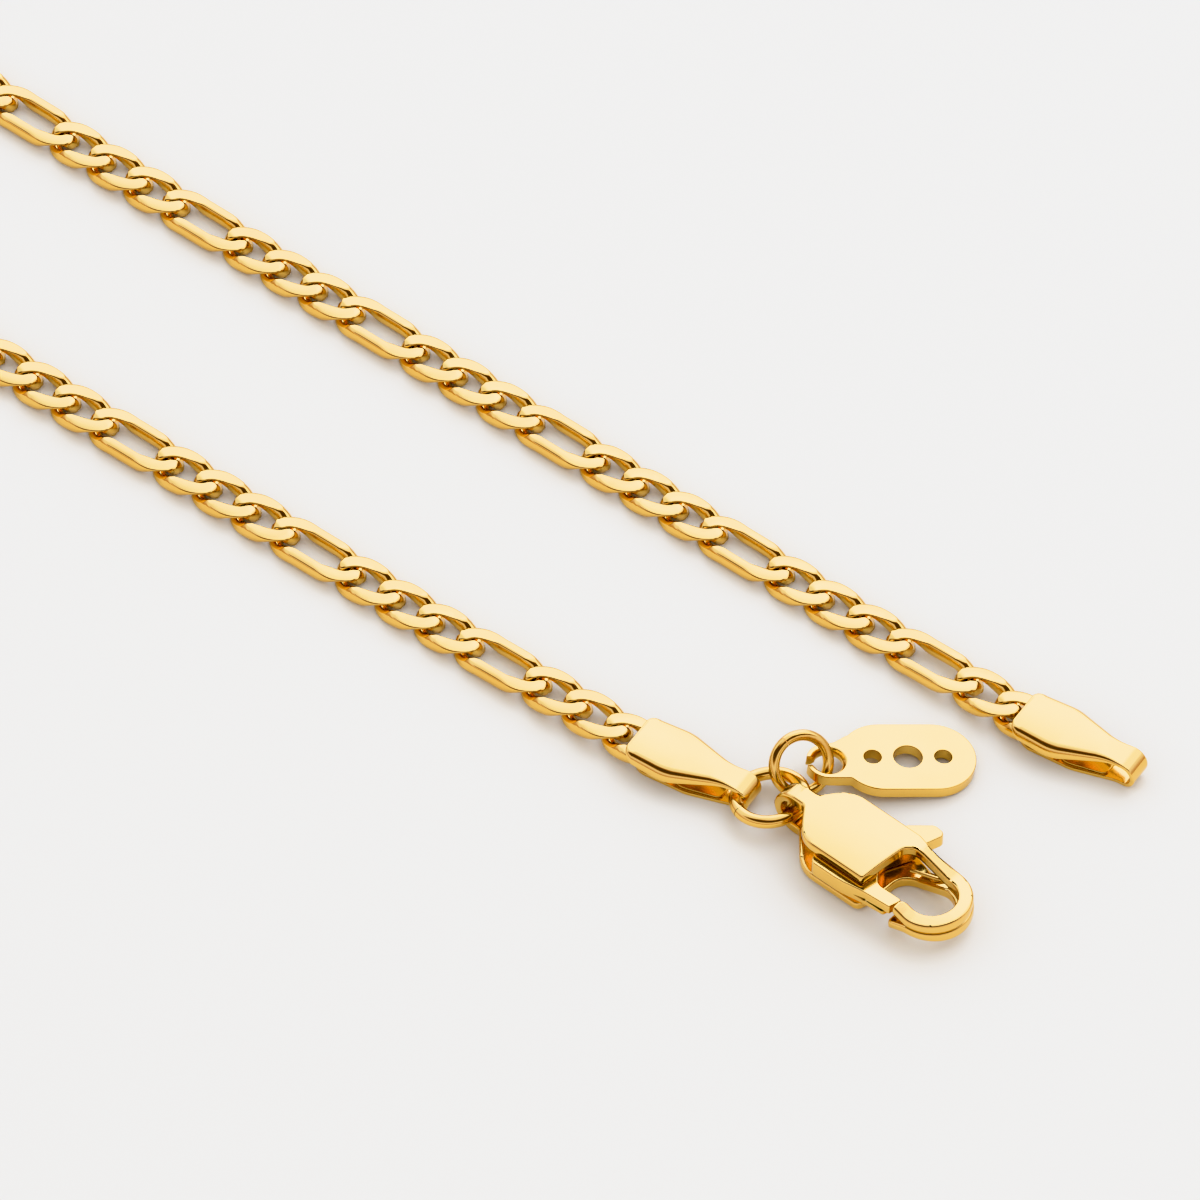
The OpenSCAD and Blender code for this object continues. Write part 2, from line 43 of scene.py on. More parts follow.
# materials: noise in repeats a metre, relief in metres
CLOUD, WEAR, WAVE, HAIR = 260.0, 1400.0, 330.0, (9000.0, 900.0, 9000.0)
WAVE_DEPTH, HAIR_DEPTH = 5e-5, 1.5e-6
CLOUD_BAND = (0.35, 0.75)  # noise over which the tint changes
SPREAD = 0.25  # share by which the polish varies
GOLD, DEEP, PALE = (1.0, 0.63, 0.165), (0.98, 0.59, 0.14), (1.0, 0.645, 0.185)


def feed(tree, socket, value):
    """Links an input to another node's output, or sets its value."""
    if isinstance(value, bpy.types.NodeSocket):
        tree.links.new(value, socket)
    else:
        socket.default_value = value


def node(tree, kind, **values):
    """A new node. Each value goes to the input of that name, or else to the node's setting."""
    n = tree.nodes.new(kind)
    for name, value in values.items():
        if name in n.inputs.keys():
            feed(tree, n.inputs[name], value)
        else:
            setattr(n, name, value)
    return n


def ranged(tree, source, band, target, kind="LINEAR"):
    """A value taken from a band to a target range, and kept inside it."""
    n = node(tree, "ShaderNodeMapRange", interpolation_type=kind, Value=source)
    for name, value in zip(("From Min", "From Max", "To Min", "To Max"), (*band, *target)):
        n.inputs[name].default_value = value
    return n.outputs["Result"]


def mixed(tree, kind, factor, a, b):
    return node(tree, "ShaderNodeMix", data_type=kind, Factor=factor, A=a, B=b).outputs["Result"]


def gold(name, color, deep, rough, grain=0.05):
    """Polished plating: faint cloudy tint, uneven polish, shallow waves and hairline scratches."""
    m = bpy.data.materials.new(name)
    m.use_nodes = True
    t = m.node_tree
    t.nodes.clear()
    place = node(t, "ShaderNodeTexCoord").outputs["Object"]
    cloud = node(t, "ShaderNodeTexNoise", Vector=place, Scale=CLOUD, Detail=3.0, Roughness=0.5)
    share = ranged(t, cloud.outputs["Fac"], CLOUD_BAND, (0.0, 1.0))
    tint = mixed(t, "RGBA", share, (*color, 1), (*deep, 1))
    worn = node(t, "ShaderNodeTexNoise", Vector=place, Scale=WEAR, Detail=4.0, Roughness=0.6)
    uneven = (rough * (1 - SPREAD), rough * (1 + SPREAD))
    polish = ranged(t, worn.outputs["Fac"], (0.0, 1.0), uneven)
    swell = node(t, "ShaderNodeTexNoise", Vector=place, Scale=WAVE, Detail=1.0)
    waves = node(t, "ShaderNodeBump", Height=swell.outputs["Fac"], Strength=0.5, Distance=WAVE_DEPTH)
    stretch = node(t, "ShaderNodeMapping", Vector=place, Scale=HAIR)
    hair = node(t, "ShaderNodeTexNoise", Vector=stretch.outputs["Vector"], Scale=1.0, Detail=2.0)
    scratch = node(t, "ShaderNodeBump", Height=hair.outputs["Fac"], Strength=grain,
                   Distance=HAIR_DEPTH, Normal=waves.outputs["Normal"])
    metal = node(t, "ShaderNodeBsdfPrincipled", Metallic=1.0, Roughness=polish,
                 Normal=scratch.outputs["Normal"])
    feed(t, metal.inputs["Base Color"], tint)
    node(t, "ShaderNodeOutputMaterial", Surface=metal.outputs["BSDF"])
    return m


chain_gold = gold("chain_gold", GOLD, DEEP, 0.10)
cap_gold = gold("cap_gold", PALE, GOLD, 0.13)
ring_gold = gold("ring_gold", GOLD, DEEP, 0.14, grain=0.1)
tag_gold = gold("tag_gold", PALE, GOLD, 0.16)
clasp_gold = gold("clasp_gold", PALE, GOLD, 0.14)

# chain: millimetres and degrees
WIRE, GROUND = 0.88, 1.15  # the wire, and the height between a link's ground faces
PLAY, SLACK = 0.56, 0.18  # room beside the wire inside a link, and along the chain at a joint
SHORT, LONG, STRAIGHT = 3.2, 5.4, 2.2  # length that a link adds, straight part of a long link
LEAN, CORNER = 50.0, 2.8  # lean of the wire at a link's tips, how square its ends are (2 is round)
FIRST, GROUP, GROUPS = 2, 3, 26  # first long link, short ones between two long ones, such groups
LOOP_R, FLARE_R = 36.0, 36.0
GAP, TILT = 17.94, 0.436  # between the strands where they get straight, and the tilt of each
LAG = 17.6  # how much longer the free strand is
CAP_LIFT, RISE = 0.38, 14.0  # height of the chain in its caps, and the length of its climb to it
MIDDLE = 95.3145  # from the loop's far end to the origin
LINK_W = PLAY + 3 * WIRE
COUNT = FIRST + 1 + GROUPS * (GROUP + 1) + GROUP


def is_long(i):
    return i >= FIRST and (i - FIRST) % (GROUP + 1) == 0


def pitch_of(i):
    return LONG if is_long(i) else SHORT


def along(i):
    """Distance from the middle of the first link to the middle of link i."""
    s = 0.0
    for k in range(i):
        s += pitch_of(k) / 2 + pitch_of(k + 1) / 2
    return s


LENGTH = along(COUNT - 1)
FREE_S, CLASP_S = (LENGTH + LAG) / 2, -(LENGTH - LAG) / 2
TR = math.radians(TILT)
SWING = math.acos((GAP / 2 + FLARE_R * math.cos(TR)) / (LOOP_R + FLARE_R))
LOOP_S = LOOP_R * (math.pi / 2 + SWING)
FLARE_S = LOOP_S + FLARE_R * (SWING - TR)
FLARE_C = np.array([LOOP_R + (LOOP_R + FLARE_R) * math.sin(SWING), (LOOP_R + FLARE_R) * math.cos(SWING)])
FLARE_END = FLARE_C - FLARE_R * np.array([math.sin(TR), math.cos(TR)])


def side_point(s):
    """Point of one side's middle line, at a distance from the loop's far end."""
    if s < LOOP_S:
        t = math.pi / 2 - s / LOOP_R
        return np.array([LOOP_R, 0]) + LOOP_R * np.array([-math.sin(t), math.cos(t)])
    if s < FLARE_S:
        t = (s - LOOP_S) / FLARE_R - SWING
        return FLARE_C + FLARE_R * np.array([math.sin(t), -math.cos(t)])
    return FLARE_END + (s - FLARE_S) * np.array([math.cos(-TR), math.sin(-TR)])


def smooth(q):
    """Soft step from 0 to 1."""
    c = min(1.0, max(0.0, q))
    return c * c * (3 - 2 * c)


def route(s):
    """The chain's middle line: s is positive on the free strand and negative on the clasp's."""
    p = side_point(abs(s))
    z = CAP_LIFT * (smooth(1 - (FREE_S - s) / RISE) + smooth(1 - (s - CLASP_S) / RISE))
    return np.array([p[0] - MIDDLE, p[1] * (-1 if s < 0 else 1), z])


def frame_at(s, pitch):
    """Directions along, across and up of the link at s, and its middle."""
    a, b = route(s - pitch / 2), route(s + pitch / 2)
    run = (b - a) / np.linalg.norm(b - a)
    side = np.array([-run[1], run[0], 0.0])
    side /= np.linalg.norm(side)
    over = (2 * WIRE + SLACK) / 2
    c = (a + b) / 2 + np.array([0, 0, GROUND / 2 + over * abs(run[2])])
    return run, side, np.cross(run, side), c


STATIONS, AROUND, OUTLINE = 56, 360, 4000  # sections, points of one, points of a link's outline
ARC_STEPS = 10
EDGE = 0.12  # width at a ground face's side over which its shading turns
FULLER, TIP_FULL = 0.22, 0.3  # how much taller the wire is, and the share of that at the tips
FULL_FROM, FULL_OVER = -0.5, 0.72  # height at which that begins, and the height it takes
CROWN = (0.01, 0.06)  # fall of the ground faces along and across
LEAN_POWER, TURN_IN = 1.25, 8  # how late the lean comes, how soon an end goes into a straight side


def rows_along(line, steps):
    """Points on a polyline: its ends, an edge's width in from each, and even steps between those."""
    step = np.linalg.norm(np.diff(line, axis=0), axis=1)
    s = np.concatenate([[0], np.cumsum(step)])
    edge = min(EDGE, s[-1] / 4)
    at = [0, *np.linspace(edge, s[-1] - edge, steps + 1), s[-1]]
    return [np.array([np.interp(q, s, line[:, k]) for k in range(3)]) for q in at]


def section(c, out, up, top):
    """One section of the wire: an oval, taller towards the ground faces and flat at them."""
    rise = lambda z: smooth((z - FULL_FROM) / FULL_OVER)
    g = np.linspace(0, 2 * math.pi, AROUND + 1)
    full = FULLER * (TIP_FULL + (1 - TIP_FULL) * smooth(abs(c[1])))
    taller = np.where(np.sin(g) > 0, full * rise(c[2]), full * rise(-c[2]))
    across, high = (WIRE / 2 * np.cos(g))[:, None], ((WIRE / 2 + taller) * np.sin(g))[:, None]
    ring = c + across * out + high * up
    z = ring[:-1, 2]
    n = len(z)
    level = top - CROWN[0] * c[0] ** 2 - CROWN[1] * c[1] ** 2
    cuts = []
    for sign, peak in ((1, int(np.argmax(z))), (-1, int(np.argmin(z)))):
        lo = hi = peak
        while sign * z[lo % n] >= level and peak - lo < n // 2:
            lo -= 1
        while sign * z[hi % n] >= level and hi - peak < n // 2:
            hi += 1
        if lo == hi:
            lo, hi = peak - 1, peak + 1
        cuts.append((lo, hi))
    (a0, a1), (b0, b1) = cuts
    if b0 < a1:
        b0, b1 = b0 + n, b1 + n
    points = np.concatenate([ring[:-1]] * 3)
    piece = lambda i, j: points[(np.arange(i, j + 1) + n) % (3 * n)]
    flat = lambda i, j: np.array([points[(i + n) % (3 * n)], points[(j + n) % (3 * n)]])
    row = rows_along(flat(a0, a1), 2)
    row += rows_along(piece(a1, b0), ARC_STEPS)[1:-1]
    row += rows_along(flat(b0, b1), 2)
    row += rows_along(piece(b1, a0 + n), ARC_STEPS)[1:-1]
    row = np.array(row)
    crown = top - CROWN[0] * row[:, 0] ** 2 - CROWN[1] * row[:, 1] ** 2
    row[:, 2] = np.clip(row[:, 2], -crown, crown)
    return row


def link_shape(length, h):
    """Sections of one link: wire that leans at the ends, ground flat above and below."""
    a, b, top = (length - WIRE) / 2, (LINK_W - WIRE) / 2, GROUND / 2
    t = np.linspace(0, 2 * math.pi, OUTLINE + 1)[:-1] + 1e-6
    power = lambda v, p: np.sign(v) * np.abs(v) ** p
    x = (a - h) * power(np.cos(t), 2 / CORNER) + h * np.tanh(TURN_IN * np.cos(t)) / math.tanh(TURN_IN)
    y = b * power(np.sin(t), 2 / CORNER)
    lean = -np.radians(LEAN) * np.sign(x) * np.maximum(0, (np.abs(x) - h) / (a - h)) ** LEAN_POWER
    p = np.stack([x, y * np.cos(lean), y * np.sin(lean)], 1)
    step = np.linalg.norm(np.roll(p, -1, 0) - p, axis=1)
    s = np.concatenate([[0], np.cumsum(step)])
    want = (np.arange(STATIONS) + 0.5) / STATIONS * s[-1]
    full = lambda v: np.concatenate([v, v[:1]])
    at = lambda w, v: np.interp(w % s[-1], s, full(v))
    spot = lambda w: np.stack([at(w, p[:, k]) for k in range(3)], 1)
    gap = s[-1] / STATIONS
    c, lean_at = spot(want), at(want, lean)
    ahead = spot(want + gap) - spot(want - gap)
    ahead /= np.linalg.norm(ahead, axis=1)[:, None]
    up = np.stack([np.zeros(STATIONS), -np.sin(lean_at), np.cos(lean_at)], 1)
    up -= (up * ahead).sum(1)[:, None] * ahead
    up /= np.linalg.norm(up, axis=1)[:, None]
    out = np.cross(ahead, up)
    return np.array([section(c[i], out[i], up[i], top) for i in range(STATIONS)])


SHAPES = {False: link_shape(SHORT + 2 * WIRE + SLACK, 0.0),
          True: link_shape(LONG + 2 * WIRE + SLACK, STRAIGHT / 2)}
ROWS = SHAPES[False].shape[1]


def new_object(name, data):
    o = bpy.data.objects.new(name, data)
    bpy.context.scene.collection.objects.link(o)
    return o


def chain_piece(name, first, last, stands_for):
    """One half of the chain, as one mesh of all its links."""
    verts, faces = [], []
    for i in range(first, last + 1):
        run, side, up, c = frame_at(FREE_S - along(i), pitch_of(i))
        shape = SHAPES[is_long(i)]
        world = shape[..., 0:1] * run + shape[..., 1:2] * side + shape[..., 2:3] * up + c
        base = len(verts)
        verts.extend((world.reshape(-1, 3) * MM).tolist())
        for m in range(STATIONS):
            a, b = base + m * ROWS, base + (m + 1) % STATIONS * ROWS
            for k in range(ROWS):
                j = (k + 1) % ROWS
                faces.append((a + k, b + k, b + j, a + j))
    me = bpy.data.meshes.new(name)
    me.from_pydata(verts, [], faces)
    me.validate()
    me.polygons.foreach_set("use_smooth", np.ones(len(me.polygons), bool))
    bm = bmesh.new()
    bm.from_mesh(me)
    bmesh.ops.recalc_face_normals(bm, faces=bm.faces)
    bm.to_mesh(me)
    bm.free()
    o = new_object(name, me)
    me.materials.append(chain_gold)
    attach(o, "necklace")
    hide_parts(stands_for)


chain_piece("links_free_half", 0, COUNT // 2 - 1, "chain_free_half")
chain_piece("links_clasp_half", COUNT // 2, COUNT - 1, "chain_clasp_half")

# plates and rings: made in millimetres, then scaled
SHARP_FROM = 34.0  # angle from which an unrolled edge stays sharp


def finished(o, body, mat, stands_for, width, angle=30.0):
    """Rolls a piece's edges over by a width, and hands it to the frame.

    Without a width its sharp edges stay, and a width of 0 only evens the shading.
    """
    if width is None:
        o.data.set_sharp_from_angle(angle=math.radians(SHARP_FROM))
    else:
        if width:
            edge = o.modifiers.new("edge", "BEVEL")
            edge.width = width
            edge.segments = 3
            edge.limit_method = "ANGLE"
            edge.angle_limit = math.radians(angle)
            edge.use_clamp_overlap = False
            edge.miter_outer = "MITER_ARC"
        even = o.modifiers.new("even", "WEIGHTED_NORMAL")
        even.keep_sharp = False
        bpy.context.view_layer.update()
        done = bpy.data.meshes.new_from_object(o.evaluated_get(bpy.context.evaluated_depsgraph_get()))
        o.modifiers.clear()
        o.data = done
    o.data.transform(Matrix.Scale(MM, 4))
    o.data.materials.clear()
    o.data.materials.append(mat)
    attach(o, body)
    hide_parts(*stands_for)


def piece_from(bm, name):
    """The object of a mesh that is shaded smooth."""
    for f in bm.faces:
        f.smooth = True
        f.material_index = 0
    me = bpy.data.meshes.new(name)
    bm.to_mesh(me)
    bm.free()
    return new_object(name, me)


def cad_solid(source, merge):
    """A node's own mesh in millimetres, with the triangles of its flat faces joined."""
    bm = bmesh.new()
    bm.from_mesh(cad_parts[source].data)
    bmesh.ops.scale(bm, vec=(1 / MM,) * 3, verts=bm.verts)
    bmesh.ops.remove_doubles(bm, verts=bm.verts, dist=merge)
    bmesh.ops.dissolve_degenerate(bm, edges=bm.edges, dist=0.004)
    bmesh.ops.dissolve_limit(bm, angle_limit=math.radians(1.2), verts=bm.verts, edges=bm.edges)
    return bm


def polished(source, name, body, mat, width, merge=0.002):
    """A node's own shape, with its edges broken where there is a width."""
    finished(piece_from(cad_solid(source, merge), name), body, mat, [source], width)


def unit(v):
    return v / np.linalg.norm(v)


def rounded(table, step=5.0):
    """Outline from rows of corner x, y and radius, with arcs in steps of so many degrees."""
    n = len(table)
    p = [np.array(row[:2], float) for row in table]
    to_a = [unit(p[i - 1] - p[i]) for i in range(n)]
    to_c = [unit(p[(i + 1) % n] - p[i]) for i in range(n)]
    half = [math.acos(max(-1, min(1, to_a[i] @ to_c[i]))) / 2 for i in range(n)]
    want = [table[i][2] / math.tan(half[i]) for i in range(n)]
    side = [np.linalg.norm(p[i] - p[i - 1]) for i in range(n)]
    share = [min(1, side[i] / max(1e-9, want[i] + want[i - 1])) for i in range(n)]
    line = []
    for i in range(n):
        back = want[i] * min(share[i], share[(i + 1) % n])
        r = back * math.tan(half[i])
        if r < 0.01:
            line.append(p[i])
            continue
        a, c = to_a[i], to_c[i]
        start, middle = p[i] + a * back, p[i] + unit(a + c) * r / math.sin(half[i])
        turn = np.sign(c[0] * a[1] - c[1] * a[0]) * (math.pi - 2 * half[i])
        first = math.atan2(*(start - middle)[::-1])
        steps = max(2, math.ceil(abs(turn) / math.radians(step)))
        turns = [first + turn * k / steps for k in range(steps + 1)]
        line += [middle + r * np.array([math.cos(g), math.sin(g)]) for g in turns]
    return [line[i] for i in range(len(line)) if np.linalg.norm(line[i] - line[i - 1]) > 0.004]


def mirrored(near):
    """Outline of a shape that is the same on both sides of x, from the corners of its -y side."""
    return rounded(near + [(x, -y, r) for x, y, r in near[::-1]])


def normals(loop):
    """Unit vectors square to a closed outline, all on the same side of it."""
    ahead = np.roll(loop, -1, 0) - np.roll(loop, 1, 0)
    ahead /= np.linalg.norm(ahead, axis=1)[:, None]
    return np.stack([ahead[:, 1], -ahead[:, 0]], 1)


def quarter(steps):
    """Angles of a quarter turn."""
    return np.linspace(0, math.pi / 2, steps + 1)


# end caps
CAP_T, CAP_LEN, CAP_H = 0.28, 8.5, 2.0  # sheet, length and height
MOUTH_W, MOUTH_R, NECK_W, LOWER_W = 3.7, 0.8, 1.76, 2.8
BELLY_X, BELLY_W = 3.0, 4.14
FLANGE = 0.78  # depth of the hanging sides
POST_X, POST_R = 0.95, 0.4
CAP_TURN, CAP_SHIFT = 7.1, {"clasp": -0.05, "free": -0.5}
ROLL, MOUTH_ROLL, CRISP = 0.56, 0.08, 0.035  # radii of the upper edge, the mouth's, the lower ones
CAP_CROWN = 0.16  # fall of the top towards its sides
FOLD_X, FOLD_STEPS, COLUMNS = CAP_LEN - CAP_H / 2, 24, 8


def half_of(near):
    """One half of a symmetric outline, from its mouth to its neck, as rows of x and half width."""
    return np.array([(x, -y) for x, y in mirrored(near) if y < 0])


def cap_strip():
    """The cap's strip laid flat: distance from the mouth along its outer side, and half width."""
    neck = NECK_W / 2
    upper = half_of([(0, -MOUTH_W / 2, MOUTH_R), (BELLY_X, -BELLY_W / 2, 3),
                     (BELLY_X + 3.4, -neck - 0.05, 4), (CAP_LEN, -neck, 0.1)])
    lower = half_of([(0.2, -LOWER_W / 2, 1.2), (BELLY_X + 1.3, -LOWER_W / 2, 3),
                     (CAP_LEN - 1.2, -0.68, 2), (CAP_LEN, -neck, 0.1)])
    strip = [(x, y) for x, y in upper if x < FOLD_X - 0.05]
    for k in range(FOLD_STEPS + 1):
        turn = math.pi * k / FOLD_STEPS
        half = upper if k <= FOLD_STEPS // 2 else lower
        x = min(CAP_LEN - 0.05, FOLD_X + math.sin(turn) * CAP_H / 2)
        wide = float(np.interp(x, half[:, 0], half[:, 1]))
        strip.append((FOLD_X + turn * CAP_H / 2, wide))
    over = FOLD_X + math.pi * CAP_H / 2
    strip += [(over + FOLD_X - x, y) for x, y in lower[::-1] if x < FOLD_X - 0.05]
    return np.array(strip)


def crowned(s):
    """Share of the crown at a distance along the strip. The fold has none."""
    return smooth((7 - s) / 2.5)


def bent(s, y, n):
    """A point n above the flat strip's outer side, put where the folded cap has it."""
    r = CAP_H / 2
    n = n - CAP_CROWN * (2 * y / BELLY_W) ** 2 * crowned(s)
    if s < FOLD_X:
        return s, y, CAP_H + n
    turn = (s - FOLD_X) / r
    if turn < math.pi:
        return FOLD_X + (r + n) * math.sin(turn), y, r + (r + n) * math.cos(turn)
    return FOLD_X - (s - FOLD_X - math.pi * r), y, -n


def edge_rows(s):
    """Across the strip's edge: distance inwards and depth, rolled above and just broken below."""
    fade = min(1, max(0, (BELLY_X + 4 - s) / 3))
    deep = CAP_T + (FLANGE - CAP_T) * smooth((s - 0.1) / 0.9) * fade
    roll = MOUTH_ROLL + (ROLL - MOUTH_ROLL) * smooth((s + 0.3) / 1.3) * smooth((8.2 - s) / 3.2)
    roll = min(roll, deep - CRISP - 0.015)
    rows = [(roll + 0.06, 0)]
    rows += [(roll * (1 - math.sin(g)), -roll * (1 - math.cos(g))) for g in quarter(10)]
    rows += [(CRISP * (1 - math.cos(g)), -deep + CRISP * (1 - math.sin(g))) for g in quarter(3)]
    inner = [(CAP_T - CRISP * (1 - math.sin(g)), -deep + CRISP * (1 - math.cos(g)))
             for g in quarter(3)]
    rows += [(a, min(b, -CAP_T)) for a, b in inner]
    return rows + [(CAP_T, -CAP_T), (CAP_T + 0.05, -CAP_T)]


def cap_sheet(bm):
    """The folded sheet: its edge all round, and its outer and inner side in columns across."""
    strip = cap_strip()
    loop = np.concatenate([strip, (strip * (1, -1))[::-1]])
    normal = normals(loop)
    if (normal[:, 1] * loop[:, 1]).sum() < 0:
        normal = -normal
    count, half, rings = len(loop), len(strip), []
    for p, q in zip(loop, normal):
        rings.append([bm.verts.new(bent(*(p - q * a), b)) for a, b in edge_rows(p[0])])
    across = {}
    for k in (0, -1):
        columns = []
        for i in range(half):
            a, b = rings[i][k].co, rings[count - 1 - i][k].co
            s = strip[i, 0]
            row = [rings[i][k]]
            for j in range(1, COLUMNS):
                y = a.y + (b.y - a.y) * j / COLUMNS
                bow = (2 * a.y / BELLY_W) ** 2 - (2 * y / BELLY_W) ** 2
                lift = CAP_CROWN * bow * crowned(s) if s < FOLD_X else 0
                row.append(bm.verts.new((a.x, y, a.z + lift)))
            columns.append(row + [rings[count - 1 - i][k]])
        for a, b in zip(columns, columns[1:]):
            for j in range(COLUMNS):
                bm.faces.new([a[j], a[j + 1], b[j + 1], b[j]])
        across[half - 1, k], across[count - 1, k] = columns[-1][1:-1], columns[0][-2:0:-1]
    for i in range(count):
        a, b = rings[i], rings[(i + 1) % count]
        outer, inner = across.get((i, 0), []), across.get((i, -1), [])
        for k in range(len(a) - 1):
            first = outer if k == 0 else []
            last = inner[::-1] if k == len(a) - 2 else []
            bm.faces.new([a[k], *first, b[k], b[k + 1], *last, a[k + 1]])


def slab(bm, outline, low, high, edge):
    """A small plate with its upper edge broken."""
    n = len(outline)
    loop = np.array(outline)
    inward = -normals(loop)
    if (inward * loop).sum() > 0 and (inward * (loop - loop.mean(0))).sum() > 0:
        inward = -inward
    rows = [(0, low)]
    rows += [(edge * (1 - math.cos(g)), high - edge * (1 - math.sin(g))) for g in quarter(3)]
    rings = [[bm.verts.new((*(loop[i] + inward[i] * a), z)) for i in range(n)] for a, z in rows]
    for a, b in zip(rings, rings[1:]):
        for i in range(n):
            bm.faces.new([a[i], a[(i + 1) % n], b[(i + 1) % n], b[i]])
    bm.faces.new(rings[-1])
    bm.faces.new(rings[0])


def cap_piece(which, source, name):
    """An end cap: a strip folded over, with hanging flanges, a raised layer below and a post."""
    bm = bmesh.new()
    cap_sheet(bm)
    w = LOWER_W / 2 - 0.15
    near = [(BELLY_X + 0.3, -w, 0.6), (BELLY_X + 1.2, -w, 3), (CAP_LEN - 2, -0.78, 0.4)]
    slab(bm, mirrored(near), CAP_T / 2, CAP_T + 0.18, 0.05)
    turns = np.linspace(0, 2 * math.pi, 49)[:-1]
    post = [(POST_X + POST_R * math.cos(g), POST_R * math.sin(g)) for g in turns]
    slab(bm, post, CAP_T / 2, CAP_H - CAP_T / 2, 0.01)
    bmesh.ops.remove_doubles(bm, verts=bm.verts, dist=0.0008)
    bmesh.ops.recalc_face_normals(bm, faces=bm.faces)
    s, sign = (CLASP_S, -1) if which == "clasp" else (FREE_S, 1)
    end = side_point(abs(s))
    turn = CAP_TURN + TILT if which == "clasp" else CAP_TURN - TILT
    place = Matrix.Translation((end[0] - MIDDLE, sign * end[1], 0))
    place = place @ Matrix.Rotation(math.radians(turn), 4, "Z")
    bm.transform(place @ Matrix.Translation((CAP_SHIFT[which], 0, 0)))
    finished(piece_from(bm, name), "necklace", cap_gold, [source], 0.0)


# clasp
SHEET, CLASP_H, CLASP_W = 0.8, 3.3, 5.06
OUT = 0.26  # how much wider the lower plate is, on each side
BODY = 8.2  # where the body ends and the hook begins
HOOK, HOOK_R, HOLE_R = 3.43, 2.72, 1.55
TAIL_X, TAIL_Y, EYE_X = -0.6, (-0.5, 0.78), -0.05
MID_Z, CLASP_CROWN = 1.65, 0.16
HOOK_C = BODY + HOOK
HOLE = (HOOK_C + 0.22, -0.2)
TIP = (HOOK_C - 0.85, HOOK_C - 1.25)  # of the upper and the lower plate
CLASP_PLACE = Matrix.Translation((81.669, -6.906, 0)) @ Matrix.Rotation(math.radians(-2.5), 4, "Z")
LENGTH_CUTS = (2.2, 2.8, 3.4, 4.0)
CROSS_CUTS = (-2.1, -1.4, -0.7, 0.0, 0.7, 1.4, 2.1)


def upper_outline():
    w, r = CLASP_W / 2, HOLE_R
    return rounded([
        (TAIL_X, TAIL_Y[0], 0.1), (1.78, TAIL_Y[0], 0.35), (3.25, -w, 1.9), (BODY, -w, 0.25),
        (BODY + 0.42, 1.38, 0.8), (HOOK_C, 1.37, 1), (HOLE[0] + r, HOLE[1] + r, r),
        (HOLE[0] + r, HOLE[1] - r, r), (TIP[0], HOLE[1] - r, 0.5), (TIP[0], -HOOK_R, 0.15),
        (HOOK_C + HOOK_R, -HOOK_R, HOOK_R), (HOOK_C + HOOK_R, HOOK_R, HOOK_R),
        (HOOK_C - 1.65, w - 0.4, 1.5), (BODY + 0.4, w, 1), (3.25, w, 1.9),
        (1.95, TAIL_Y[1], 0.35), (TAIL_X, TAIL_Y[1], 0.1)])


def lower_outline():
    w, r, big = CLASP_W / 2 + OUT, HOLE_R - 0.1, HOOK_R + 0.04
    low = HOLE[1] - 0.04 - r
    return rounded([
        (TAIL_X, TAIL_Y[0], 0.1), (1.45, TAIL_Y[0], 0.4), (3.5, -w, 2.4), (BODY - 0.1, -w, 0.5),
        (BODY + 0.38, -0.9, 1.5), (BODY + 0.46, 1.15, 1.2), (HOOK_C, 1.15, 1),
        (HOLE[0] + r, HOLE[1] + r, r), (HOLE[0] + r, low, r), (TIP[1], low, 0.4),
        (TIP[1], -big, 0.35), (HOOK_C + big, -big, big), (HOOK_C + big, big, big),
        (HOOK_C - 1.65, w - 0.6, 1.5), (BODY + 0.2, w - 0.1, 1), (3.5, w, 2.4),
        (1.45, TAIL_Y[1], 0.4), (TAIL_X, TAIL_Y[1], 0.1)])


def rises(table, low_z):
    """Height over x of the upper side of a rounded side view."""
    line = [q for q in rounded(table) if q[1] >= low_z - 1e-6]
    line.sort(key=lambda q: (q[0], q[1]))
    return np.array(line)


def clasp_profiles():
    """Upper halves of the clasp's outer and inner side view. The plates meet at the hook."""
    bend, drop, far = (BODY + 1.4, BODY + 3.6), CLASP_H / 2 - SHEET, HOOK_C + HOOK_R + 1
    outer = rises([(TAIL_X, 0, MID_Z), (bend[0], 0, 2), (bend[1], drop, 2), (far, drop, 0),
                   (far, CLASP_H - drop, 0), (bend[1], CLASP_H - drop, 2), (bend[0], CLASP_H, 2),
                   (TAIL_X, CLASP_H, MID_Z)], MID_Z)
    inner = rises([(EYE_X, SHEET, MID_Z - SHEET), (bend[0], SHEET, 1), (bend[1], MID_Z, 0),
                   (bend[0], CLASP_H - SHEET, 1), (EYE_X, CLASP_H - SHEET, MID_Z - SHEET)], MID_Z)
    return outer, inner


